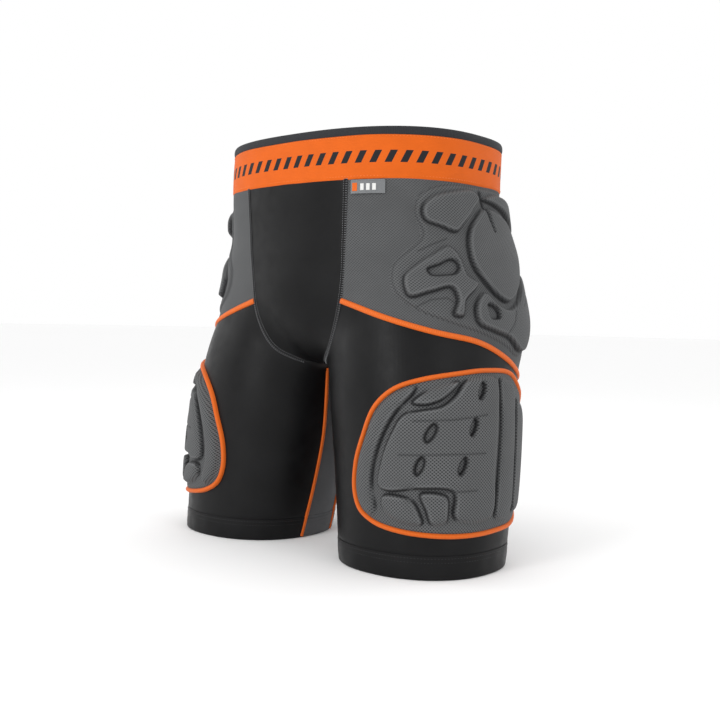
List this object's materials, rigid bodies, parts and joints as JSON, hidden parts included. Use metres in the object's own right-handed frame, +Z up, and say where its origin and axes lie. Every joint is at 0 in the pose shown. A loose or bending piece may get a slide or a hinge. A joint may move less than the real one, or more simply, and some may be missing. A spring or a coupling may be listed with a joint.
{
  "type": "padded impact shorts",
  "caption": "Close-fitting padded shorts with a wide elastic waistband, a front pouch, moulded hip, thigh and tailbone pads on stretch fabric, and short legs.",
  "frame": {"origin": "centre of the bounding box at the hems, on the surface that the shorts stand on", "axes": "+Z up from the hems to the waist, +X to the wearer's left, -Y to the wearer's front"},
  "size_m": [0.429, 0.266, 0.437],
  "materials": {
    "orange_elastic": "matte ribbed elastic and piping",
    "dark_edge": "matte woven edge",
    "black_knit": "smooth stretch knit with a soft sheen",
    "grey_mesh": "fine grey warp-knit mesh",
    "pad_grey": "grey honeycomb mesh bonded over moulded foam",
    "label": "woven satin label"
  },
  "bodies": {
    "yoke": {"waistband_elastic": "orange_elastic", "waistband_top_edge": "dark_edge", "front_pouch": "black_knit", "front_pouch_lining": "black_knit", "seat_panel": "black_knit", "crotch_gusset": "grey_mesh", "hip_panel_left": "grey_mesh", "pouch_seam_left": "black_knit", "hip_piping_left": "orange_elastic", "hip_pad_backing_left": "grey_mesh", "hip_pad_upper_front_left": "pad_grey", "hip_pad_upper_rear_left": "pad_grey", "hip_pad_centre_left": "pad_grey", "hip_pad_front_left": "pad_grey", "hip_pad_lower_left": "pad_grey", "hip_panel_right": "grey_mesh", "pouch_seam_right": "black_knit", "hip_piping_right": "orange_elastic", "hip_pad_backing_right": "grey_mesh", "hip_pad_upper_front_right": "pad_grey", "hip_pad_upper_rear_right": "pad_grey", "hip_pad_centre_right": "pad_grey", "hip_pad_front_right": "pad_grey", "hip_pad_lower_right": "pad_grey", "tailbone_pad_backing": "grey_mesh", "tailbone_pad_wing_left": "pad_grey", "tailbone_pad_wing_right": "pad_grey", "tailbone_pad_tip": "pad_grey"},
    "size_label": {"size_label": "label"},
    "left_leg": {"thigh_panel_left": "black_knit", "inner_thigh_panel_left": "grey_mesh", "inner_piping_front_left": "orange_elastic", "inner_piping_rear_left": "orange_elastic", "hem_band_left": "black_knit", "groin_flex_left": "black_knit", "thigh_pad_backing_left": "grey_mesh", "thigh_pad_piping_left": "orange_elastic", "thigh_pad_rim_left": "pad_grey", "thigh_pad_upper_leaf_left": "pad_grey", "thigh_pad_main_left": "pad_grey", "thigh_pad_lower_leaf_left": "pad_grey", "thigh_pad_lower_middle_left": "pad_grey", "thigh_pad_side_left": "pad_grey", "thigh_pad_rear_left": "pad_grey"},
    "right_leg": {"thigh_panel_right": "black_knit", "inner_thigh_panel_right": "grey_mesh", "inner_piping_front_right": "orange_elastic", "inner_piping_rear_right": "orange_elastic", "hem_band_right": "black_knit", "groin_flex_right": "black_knit", "thigh_pad_backing_right": "grey_mesh", "thigh_pad_piping_right": "orange_elastic", "thigh_pad_rim_right": "pad_grey", "thigh_pad_upper_leaf_right": "pad_grey", "thigh_pad_main_right": "pad_grey", "thigh_pad_lower_leaf_right": "pad_grey", "thigh_pad_lower_middle_right": "pad_grey", "thigh_pad_side_right": "pad_grey", "thigh_pad_rear_right": "pad_grey"}
  },
  "joints": [
    {"name": "left_hip_flexion", "type": "hinge", "parent": "yoke", "child": "left_leg", "pos_m": [0.1, -0.01175, 0.2], "axis": [-1, 0, 0], "range_deg": [-10, 30], "stiffness_Nm_per_rad": 1, "deforming": ["groin_flex_left"]},
    {"name": "right_hip_flexion", "type": "hinge", "parent": "yoke", "child": "right_leg", "pos_m": [-0.1, -0.01175, 0.2], "axis": [-1, 0, 0], "range_deg": [-10, 30], "stiffness_Nm_per_rad": 1, "deforming": ["groin_flex_right"]},
    {"name": "size_label_flap", "type": "hinge", "parent": "yoke", "child": "size_label", "pos_m": [0.092, -0.1098, 0.3838], "axis": [-0.9241, -0.3821, 0], "range_deg": [0, 110]}
  ]
}
